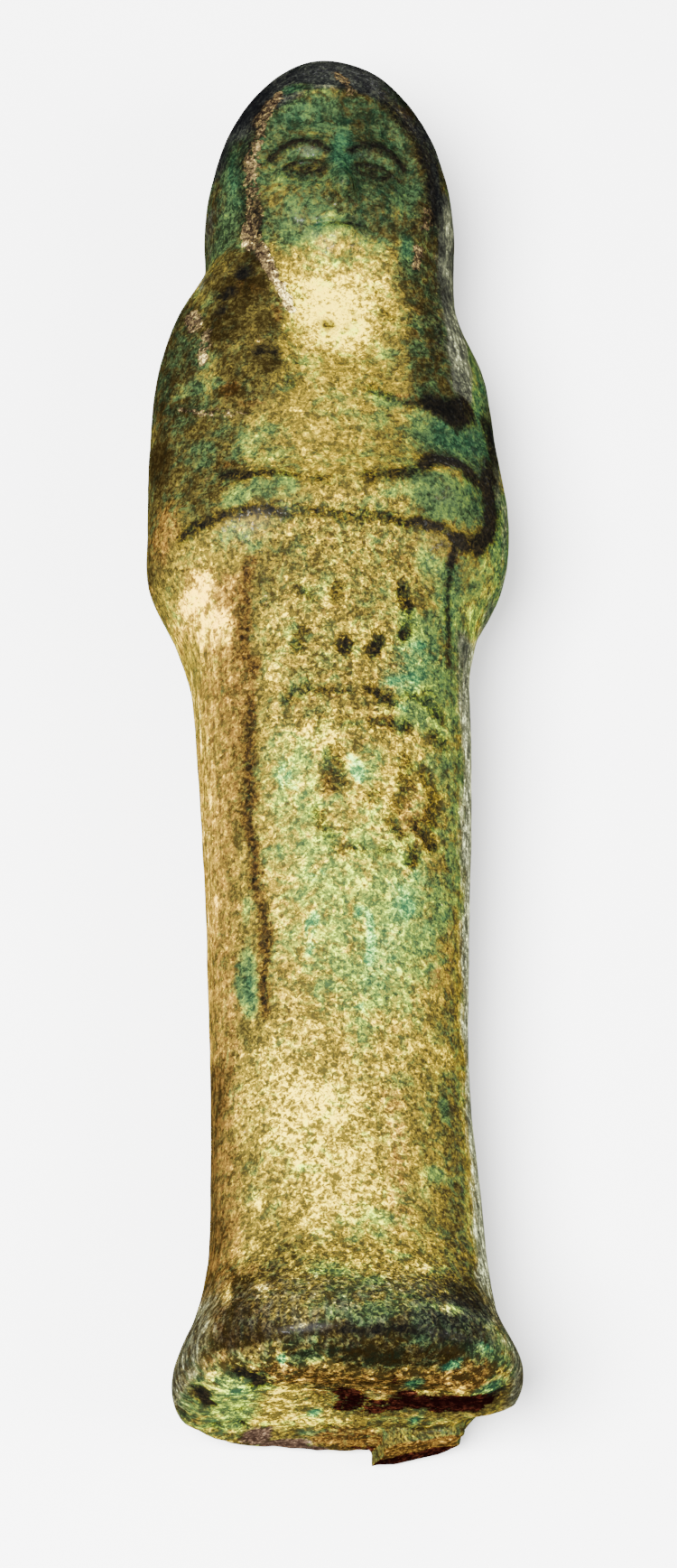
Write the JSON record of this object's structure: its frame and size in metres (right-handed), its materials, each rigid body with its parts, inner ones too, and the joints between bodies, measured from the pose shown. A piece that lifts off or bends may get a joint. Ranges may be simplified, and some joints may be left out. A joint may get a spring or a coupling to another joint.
{
  "type": "ushabti figurine",
  "caption": "Mummiform funerary figurine of worn green glazed faience with a tripartite wig, folded arms and a flared foot, lying on its back.",
  "frame": {"origin": "under the middle of the figure, on the surface that its back lies on", "axes": "+Y from the sole to the crown, +Z the front of the figure, up as it lies, +X its left-hand side"},
  "size_m": [0.0264, 0.1062, 0.02],
  "materials": {
    "glazed_faience": "worn, speckled green and ochre faience glaze with dark painted lines, bare cream core where it has rubbed off, satin"
  },
  "bodies": {
    "root": {"figurine": "glazed_faience"}
  },
  "joints": []
}
